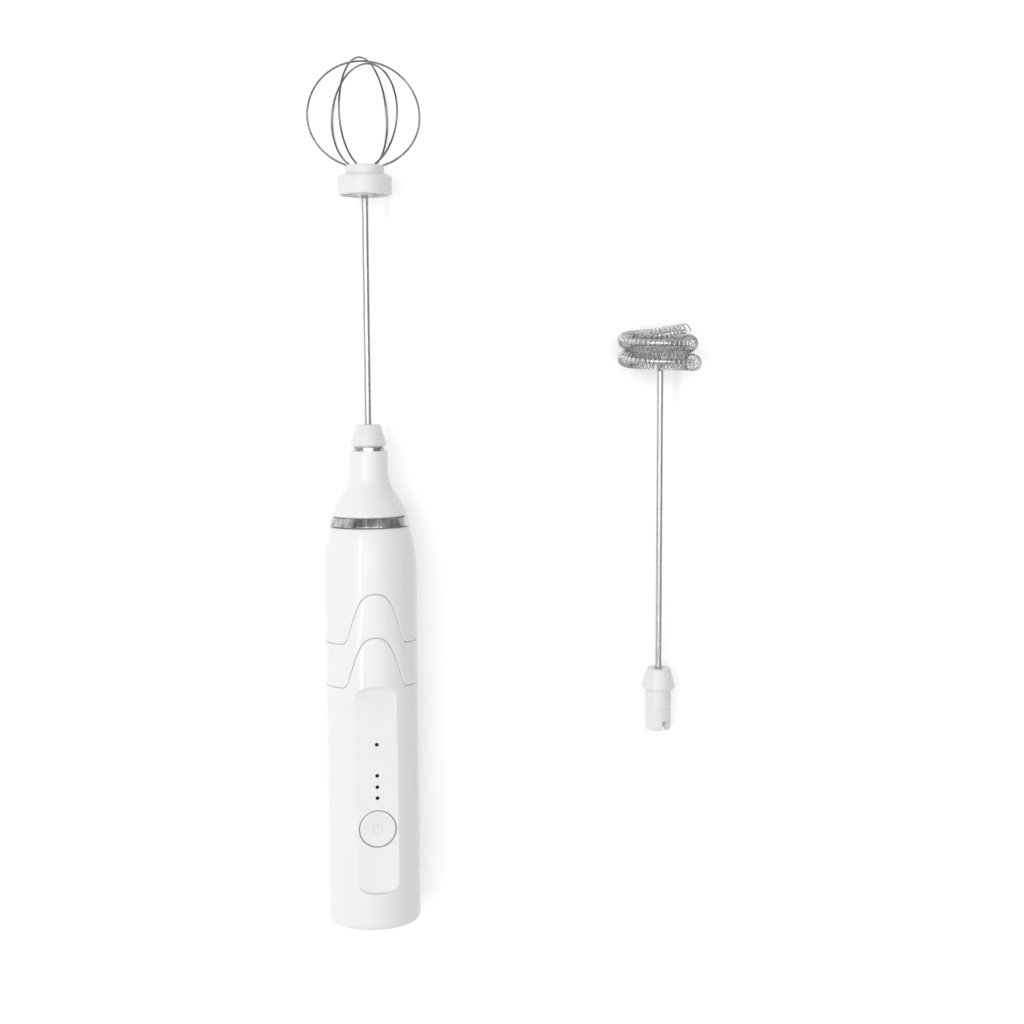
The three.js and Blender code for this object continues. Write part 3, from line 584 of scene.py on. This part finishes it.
FERRULE_Y = span_y("nose_ferrule")
FERRULE_R = (4.15, 4.5)  # bore and outside
ferrule_outline = rounded(
    [(FERRULE_R[0], FERRULE_Y[0]), (FERRULE_R[1], FERRULE_Y[0])]
    + [(FERRULE_R[1], FERRULE_Y[1], 0.15), (FERRULE_R[0], FERRULE_Y[1])]
)
ferrule = make_object("ferrule", spin_about_y(ferrule_outline, 128, True))
place(ferrule, "handle", "chrome_trim", painted_reflection_chrome, "nose_ferrule")


# %% [markdown]
# ## The button and the lights
# The button is a shallow dished cap that stands level with the panel, with a narrow gap all round, and a
# faint printed on-off sign in its middle. The sign is a thin raised print of its own, an open ring and a
# bar, because painting it on in a shader would tie it to a drawing instead of to a shape. The lights are
# dark lenses.

# %% Button
cap_low, cap_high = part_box("button_cap")
TOP_Z = cap_high[2] / MM


DISH = 0.16  # how far the button's middle is sunk
FLANGE_R = BUTTON_R + 0.7
FLANGE = 0.6


def spin_about_z(outline, x, y, steps=96):
    """A bmesh of the outline of (radius, z), in mm, spun about an upright axis through (x, y)."""
    bm = spin_about_y(outline, steps)
    bmesh.ops.rotate(bm, cent=(0, 0, 0), matrix=Matrix.Rotation(math.radians(90), 3, "X"), verts=bm.verts)
    bmesh.ops.translate(bm, vec=(x * MM, y * MM, 0), verts=bm.verts)
    return bm


low_z = cap_low[2] / MM
flange_z = low_z + 0.65
flange_top = flange_z + FLANGE
dish = [(BUTTON_R * k / 8 * 0.9, TOP_Z - DISH + DISH * (k / 8) ** 2) for k in range(7, 0, -1)]
cap_outline = rounded(
    [(0, low_z), (1.5, low_z), (1.5, flange_z), (FLANGE_R, flange_z, 0.1), (FLANGE_R, flange_top, 0.1)]
    + [(BUTTON_R, flange_top), (BUTTON_R, TOP_Z, 0.4)]
    + dish
    + [(0, TOP_Z - DISH)],
    6,
)
cap = make_object("button", spin_about_z(cap_outline, 0, button.y))
place(cap, "button", "white_button", white_button, "button_cap")


def power_mark():
    """An open ring and a bar, printed a few hundredths of a millimetre thick on the middle of the button."""
    bm = bmesh.new()
    z = TOP_Z - DISH - 0.01
    mark_r = 1.35
    width = 0.22
    thick = 0.035
    opening = 68  # degrees
    inner = mark_r - width / 2
    outer = mark_r + width / 2
    section = [(inner, z), (outer, z), (outer, z + thick), (inner, z + thick)]
    verts = [bm.verts.new((0, 0, 0)) for _ in section]
    start = math.radians(90 - opening / 2)
    for vert, (r, height) in zip(verts, section):
        vert.co = Vector((r * math.cos(start), r * math.sin(start), height)) * MM
    face = bm.faces.new(verts)
    bmesh.ops.spin(
        bm,
        geom=[face],
        cent=(0, 0, 0),
        axis=(0, 0, 1),
        angle=-math.radians(360 - opening),
        steps=48,
        use_duplicate=False,
    )
    bar = bmesh.ops.create_cube(bm, size=1)["verts"]
    bmesh.ops.scale(bm, vec=Vector((width, 1.25, thick)) * MM, verts=bar)
    bmesh.ops.translate(bm, vec=Vector((0, mark_r - 0.15, z + thick / 2)) * MM, verts=bar)
    bmesh.ops.translate(bm, vec=(0, button.y * MM, 0), verts=bm.verts)
    return make_object("power_mark", bm)


place(power_mark(), "button", "white_button", mark_grey)

# %% Lights
for name in light_names:
    low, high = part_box(name)
    at = centre(name) / MM
    base, top = low[2] / MM, high[2] / MM
    outline = rounded(
        [(0, base), (1.1, base), (1.1, base + 0.75), (0.5, base + 0.75), (0.5, top - 0.12, 0.1), (0, top)], 4
    )
    place(
        make_object(name.replace("guide", "lens"), spin_about_z(outline, at.x, at.y, 48)),
        "handle",
        "smoky_guide",
        smoky,
        name,
    )


# %% [markdown]
# ## The push-in couplings
# Both heads end in the same moulded coupling: a conical collar with a chamfer below, and a slotted plug
# that pushes into the ferrule. It is spun with its real wall, then one slot is cut across its end for the
# drive pin.

# %% One coupling, made twice
PLUG_R = 3.95
PLUG_LENGTH = 13.0
COLLAR_R = 5.2
COLLAR_LENGTH = 6.2
SHAFT_R = 1.0
SHAFT_FIT = SHAFT_R + 0.12  # radius of the hole for the shaft
SLOT_DEPTH = 3.1
SLOT_WIDTH = 1.5


def coupling(name):
    """The coupling with its collar's underside at the origin, pointing along +Y, in metres."""
    outline = rounded(
        [(SHAFT_FIT, COLLAR_LENGTH - 0.25), (SHAFT_FIT, -6), (0, -6), (0, -6.6), (2.35, -6.6)]
        + [(2.35, -PLUG_LENGTH, 0.2), (PLUG_R - 0.35, -PLUG_LENGTH, 0.3), (PLUG_R, -PLUG_LENGTH + 1.0, 0.4)]
        + [(PLUG_R, -6.4), (PLUG_R - 0.14, -6.25), (PLUG_R - 0.14, -5.6), (PLUG_R, -5.45)]
        + [(PLUG_R, 0), (COLLAR_R - 0.3, 0, 0.12), (COLLAR_R, 0.5, 0.3)]
        + [(3.6, COLLAR_LENGTH, 0.55), (SHAFT_R + 0.7, COLLAR_LENGTH), (SHAFT_FIT, COLLAR_LENGTH - 0.25)],
        7,
    )
    piece = make_object(name, spin_about_y(outline, 128))
    reach = SLOT_DEPTH + 1
    bm = bmesh.new()
    bmesh.ops.create_cube(bm, size=1)
    bmesh.ops.scale(bm, vec=Vector((12, reach, SLOT_WIDTH)) * MM, verts=bm.verts)
    bmesh.ops.translate(bm, vec=Vector((0, SLOT_DEPTH - PLUG_LENGTH - reach / 2, 0)) * MM, verts=bm.verts)
    cut_with(piece, make_object("slot_cutter", bm))
    return piece


collar_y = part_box("whisk_plug")[1][1] - COLLAR_LENGTH * MM
plug = coupling("whisk_coupling")
plug.data.transform(Matrix.Translation((0, collar_y, 0)))
place(plug, "whisk", "white_part", white_part, "whisk_plug")

shaft_start, shaft_end = span_y("whisk_shaft")
shaft_outline = rounded(
    [(0, shaft_start), (SHAFT_R, shaft_start, 0.2), (SHAFT_R, shaft_end, 0.2), (0, shaft_end)]
)
place(make_object("whisk_rod", spin_about_y(shaft_outline, 48)), "whisk", "stainless", steel, "whisk_shaft")

# %% [markdown]
# ## The hub
# A moulded cup: a skirt with a rounded shoulder, a neck that the six wire ends go down into, and
# underneath, a ring-shaped hollow with a boss round the shaft and six thin ribs.

# %% Hub
HUB_SKIRT = 5.5
hub_start, hub_end = span_y("whisk_hub")
HUB = (hub_start, hub_start + HUB_SKIRT, hub_end)  # the skirt's two ends and the neck's top
HUB_R = 7.8
hub_outline = rounded(
    [(SHAFT_FIT, HUB[2] - 2.5), (SHAFT_FIT, HUB[0]), (2.4, HUB[0], 0.3), (2.4, HUB[0] + 1.6)]
    + [(6.7, HUB[0] + 1.6), (6.7, HUB[0], 0.2), (HUB_R, HUB[0], 0.4), (HUB_R, HUB[1], 1.5)]
    + [(5.6, HUB[1]), (5.6, HUB[2], 0.6), (0, HUB[2]), (0, HUB[2] - 2.5)],
    8,
)
hub = make_object("hub", spin_about_y(hub_outline, 144, True))
place(hub, "whisk", "white_part", white_part, "whisk_hub")


def rib(turn):
    """A thin rib across the hollow underneath, from the boss to the skirt, with its lower edges rounded."""
    bm = bmesh.new()
    bmesh.ops.create_cube(bm, size=1)
    bmesh.ops.scale(bm, vec=Vector((4.3, 1.3, 0.7)) * MM, verts=bm.verts)
    bmesh.ops.translate(bm, vec=Vector((4.55, HUB[0] + 1.1, 0)) * MM, verts=bm.verts)
    bmesh.ops.rotate(bm, cent=(0, 0, 0), matrix=Matrix.Rotation(math.radians(turn), 3, "Y"), verts=bm.verts)
    edges = [e for e in bm.edges if all(v.co.y < (HUB[0] + 1) * MM for v in e.verts)]
    bmesh.ops.bevel(bm, geom=edges, offset=0.1 * MM, segments=2, affect="EDGES", profile=0.5, material=-1)
    return place(make_object(f"hub_rib_{turn}", bm), "whisk", "white_part", white_part)


for turn in range(0, 360, 60):
    rib(turn)


# %% [markdown]
# ## Wires
# A bent wire is a curve with a round bevel, made a mesh once its path is right: the curve keeps the section
# round in every bend, which a chain of cylinders can't. Each loop of the balloon is drawn as two half
# ovals, a taller one above its widest place and a flatter one below, and both its ends turn down into the
# hub.

# %% Bent wire
def bent_wire(name, points, radius, round_steps=3):
    """A round wire along points in mm."""
    curve = bpy.data.curves.new(name, "CURVE")
    curve.dimensions = "3D"
    curve.bevel_depth = radius * MM
    curve.bevel_resolution = round_steps
    curve.use_fill_caps = True
    spline = curve.splines.new("POLY")
    spline.points.add(len(points) - 1)
    for point, at in zip(spline.points, points):
        point.co = (*(Vector(at) * MM), 1)
    drawn = bpy.data.objects.new(name, curve)
    bpy.context.scene.collection.objects.link(drawn)
    bpy.context.view_layer.update()
    mesh = bpy.data.meshes.new_from_object(drawn.evaluated_get(bpy.context.evaluated_depsgraph_get()))
    bpy.data.objects.remove(drawn)
    bm = bmesh.new()
    bm.from_mesh(mesh)
    return make_object(name, bm, 50)


WIRE_R = 0.3
BALLOON_Y = 232.9  # where the loops are widest
BALLOON_DROP = 14.5
SIDE_ANGLE = 58
loops = [
    ("whisk_loop_wide", 0, 16.0),
    ("whisk_loop_left", SIDE_ANGLE, 15.2),
    ("whisk_loop_right", 180 - SIDE_ANGLE, 15.2),
]


def loop_points(radius, apex, angle):
    """The path of one loop, from one end in the hub's neck over its apex to the other end."""
    half = [(4.1, HUB[2] - 2.3), (4.45, HUB[2] - 1.2), (4.6, HUB[2] - 0.9)]
    for k in range(64):
        a = math.radians(-70 + 160 * k / 64)
        height = apex - BALLOON_Y if a > 0 else BALLOON_DROP
        half.append((radius * math.cos(a), BALLOON_Y + height * math.sin(a)))
    whole = half + [(0, apex)] + [(-r, y) for r, y in reversed(half)]
    turn = math.radians(angle)
    return [(r * math.cos(turn), y, -r * math.sin(turn)) for r, y in whole]


for node, angle, radius in loops:
    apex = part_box(node)[1][1] / MM - WIRE_R + 0.02
    wire = bent_wire(node + "_wire", loop_points(radius, apex, angle), WIRE_R)
    place(wire, "whisk", "stainless", loop_steel_painted_dark, node)

# %% [markdown]
# ## The spring head
# One steel rod rises from the coupling, bends out, and runs round nearly twice; a fine spring is wound on
# those turns. The turns aren't even ones, so the rod follows a smooth curve through the places in
# RING_PATH, and the spring is a wire that circles that curve. The whole head is built upright, and then
# laid down as the CAD lays it: on its collar and on its ring.

# %% Spring head
STEM = 100.2
COIL_R = 2.6  # outer radius of the spring
COIL_WIRE_R = 0.19
COIL_TURNS = 94
COIL_STEPS = 18  # points to each turn
# The ring's centre line as turns, radius and height: a nearly level first turn, and a second one that starts
# inside it and lies on top, with its free end rising and opening outwards.
RING_PATH = [
    (0, 10.2, -1.15), (0.125, 10.2, -0.45), (0.25, 10.2, 0), (0.375, 10.2, 0.2), (0.5, 10.2, 0.35),
    (0.625, 10.2, 0.5), (0.75, 10.1, 0.75), (0.875, 9.3, 2.2), (1, 8.5, 4.3), (1.125, 9.1, 5.2),
    (1.25, 10.1, 5.4), (1.375, 10.2, 5.55), (1.5, 10.2, 5.7), (1.625, 10.2, 5.85), (1.75, 10.2, 6.25),
    (1.83, 11, 7), (1.9, 12.4, 7.8),
]


def on_ring(turns, radius, height):
    """A place on the ring's centre line, in mm, with the head upright."""
    a = math.tau * turns
    return Vector((radius * math.cos(a), STEM + height, radius * math.sin(a)))


def catmull(points, steps):
    """Points of a smooth curve through the given points."""
    padded = [points[0] * 2 - points[1], *points, points[-1] * 2 - points[-2]]
    out = []
    for p0, p1, p2, p3 in zip(padded, padded[1:], padded[2:], padded[3:]):
        for k in range(steps):
            t = k / steps
            curve = 2 * p1 + (p2 - p0) * t + (2 * p0 - 5 * p1 + 4 * p2 - p3) * t**2
            out.append((curve + (3 * p1 - p0 - 3 * p2 + p3) * t**3) / 2)
    return out + [points[-1]]


def evenly(points, count):
    """The line through the points, cut into count equal steps."""
    ends = [0]
    for p, q in zip(points, points[1:]):
        ends.append(ends[-1] + (q - p).length)
    out = []
    k = 0
    for i in range(count + 1):
        at = ends[-1] * i / count
        while k < len(points) - 2 and ends[k + 1] < at:
            k += 1
        out.append(points[k].lerp(points[k + 1], (at - ends[k]) / (ends[k + 1] - ends[k])))
    return out


# The rod's own points: the foot in the coupling, the straight stem, and the bend out to the ring.
rise = [(0, -4.9, 0), (0, STEM * 0.35, 0), (0, STEM * 0.7, 0), (0, STEM - 6, 0), (0, STEM - 2.8, 0)]
rise += [(1.4, STEM - 1.4, -1.6), (5, STEM - 1.1, -4.4), (8.8, STEM - 1.15, -3.2)]
ring = catmull([on_ring(*key) for key in RING_PATH], 24)
stem = bent_wire("spring_rod", catmull([Vector(p) for p in rise] + ring[::12], 6), SHAFT_R, 6)

coil = []
path = evenly(ring, COIL_TURNS * COIL_STEPS)
for k, middle in enumerate(path):
    ahead = path[min(k + 1, len(path) - 1)] - path[max(k - 1, 0)]
    out = Vector((middle.x, 0, middle.z)).normalized()
    up = out.cross(ahead).normalized()
    a = math.tau * k / COIL_STEPS
    coil.append(middle + (out * math.cos(a) + up * math.sin(a)) * (COIL_R - COIL_WIRE_R))
spring = bent_wire("spring_winding", coil, COIL_WIRE_R, 2)

# %% Lay the spring head on the table
SPARE_X = 88.6
SPARE_Y = 63.6
SLANT = math.radians(0.7)  # how far the head is turned from the handle's direction
COUPLING_TURN = math.radians(-75)  # turn of the coupling on its rod
RING_REST = 3.5  # how far past the stem's length the ring touches the table
COLLAR_SINK = 0.08  # how much lower the collar sits because its edge is cut back
tilt = math.asin((RING_PATH[0][1] + COIL_R - COLLAR_R) / (STEM + RING_REST))
head_x = SPARE_X * MM
head_y = SPARE_Y * MM
head_z = -BODY_R * MM + (COLLAR_R / math.cos(tilt) - COLLAR_SINK) * MM
turned = Matrix.Rotation(tilt, 4, "X") @ Matrix.Rotation(SLANT, 4, "Z")
lay = Matrix.Translation((head_x, head_y, head_z)) @ turned
spring_coupling = coupling("spring_coupling")
spring_coupling.data.transform(Matrix.Rotation(COUPLING_TURN, 4, "Y"))
for piece in (spring_coupling, stem, spring):
    piece.data.transform(lay)
place(spring_coupling, "spring_head", "white_part", white_part, "spring_plug")
place(stem, "spring_head", "stainless", rod_steel, "spring_stem")
place(spring, "spring_head", "stainless", spring_steel, "spring_coil")
print("spring head", [round(v / MM, 1) for v in (head_x, head_y, head_z)])


# %% [markdown]
# ## Floor, light and camera
# A white studio table, lit a little from within so that its shadows stay faint. Two long, narrow soft boxes
# on either side of the camera draw the two bright lines down the barrel. Three wide ones, from the left,
# from the whisk's end and from overhead, fill the rest. The sky dims towards +X, so right-hand sides fall
# off to grey.

# %% Floor
FLOOR_Z = cad_box[0][2]
TABLE_MIDDLE = (0.04, 0.12, FLOOR_Z)  # metres
TABLE_HALF = 12  # metres from its middle to each edge
TABLE_GLOW = 0.13  # a lit table keeps the shadows faint
bm = bmesh.new()
bmesh.ops.create_grid(bm, x_segments=1, y_segments=1, size=TABLE_HALF)
bmesh.ops.translate(bm, vec=TABLE_MIDDLE, verts=bm.verts)
floor = make_object("studio_table", bm)
floor_white = finish("table_white", (0.97, 0.97, 0.97), (0.6, 0.7), tint=0.004, patch=4, bump=(0.01, 300))
glow = floor_white.node_tree.nodes["Principled BSDF"].inputs
glow["Emission Color"].default_value = (1, 1, 1, 1)
glow["Emission Strength"].default_value = TABLE_GLOW
floor.data.materials.append(floor_white)


# %% Soft boxes
def facing(at, aim, lean=0):
    """The turn that points something's -Z from at to aim, with its Y kept along the handle."""
    back = (Vector(at) - Vector(aim)).normalized()
    right = Vector((0, 1, 0)).cross(back).normalized()
    turn = Matrix((right, back.cross(right), back)).transposed()
    return (turn @ Matrix.Rotation(math.radians(lean), 3, "Z")).to_euler()


def soft_box(name, at, size, power, aim=(0, 0.12, 0)):
    """A rectangular light of the given size in metres and power in watts, facing aim."""
    data = bpy.data.lights.new(name, "AREA")
    data.shape = "RECTANGLE"
    data.size, data.size_y = size
    data.energy = power
    lamp = bpy.data.objects.new(name, data)
    lamp.location = at
    lamp.rotation_euler = facing(at, aim)
    bpy.context.scene.collection.objects.link(lamp)


soft_box("left_strip", (-0.385, 0.12, 0.66), (0.02, 0.7), 0.9)
soft_box("right_strip", (0.335, 0.12, 0.66), (0.02, 0.7), 0.3)
soft_box("left_fill", (-0.65, 0.25, 1.1), (0.8, 0.8), 2.9)
soft_box("top_fill", (-0.1, 0.5, 1.3), (1.2, 0.8), 1.9)
soft_box("overhead", (0, 0.1, 1.5), (1, 1), 4.2)

# %% Sky
SKY_LEFT = 0.78  # its strength towards -X
SKY_RIGHT = 0.36  # and towards +X
world = bpy.data.worlds.new("studio")
world.use_nodes = True
sky = world.node_tree
sky.nodes["Background"].inputs["Color"].default_value = (1, 1, 1, 1)
toward = sky.nodes.new("ShaderNodeTexCoord")
split = sky.nodes.new("ShaderNodeSeparateXYZ")
fade = sky.nodes.new("ShaderNodeMapRange")
for name, value in {"From Min": -1, "From Max": 1, "To Min": SKY_LEFT, "To Max": SKY_RIGHT}.items():
    fade.inputs[name].default_value = value
sky.links.new(toward.outputs["Generated"], split.inputs["Vector"])
sky.links.new(split.outputs["X"], fade.inputs["Value"])
sky.links.new(fade.outputs["Result"], sky.nodes["Background"].inputs["Strength"])
bpy.context.scene.world = world
bpy.context.scene.view_settings.view_transform = "Standard"

# %% Camera
LEAN = -0.45  # degrees that the camera is turned about its own axis
SENSOR = 36
LENS = 59.7
camera_data = bpy.data.cameras.new("camera")
camera_data.sensor_width = SENSOR
camera_data.lens = LENS
camera = bpy.data.objects.new("camera", camera_data)
camera.location = (-0.047, 0.158, 0.490)
camera.rotation_euler = facing(camera.location, (0.0420, 0.1191, 0), LEAN)
bpy.context.scene.collection.objects.link(camera)
bpy.context.scene.camera = camera
print("camera lens", camera_data.lens)
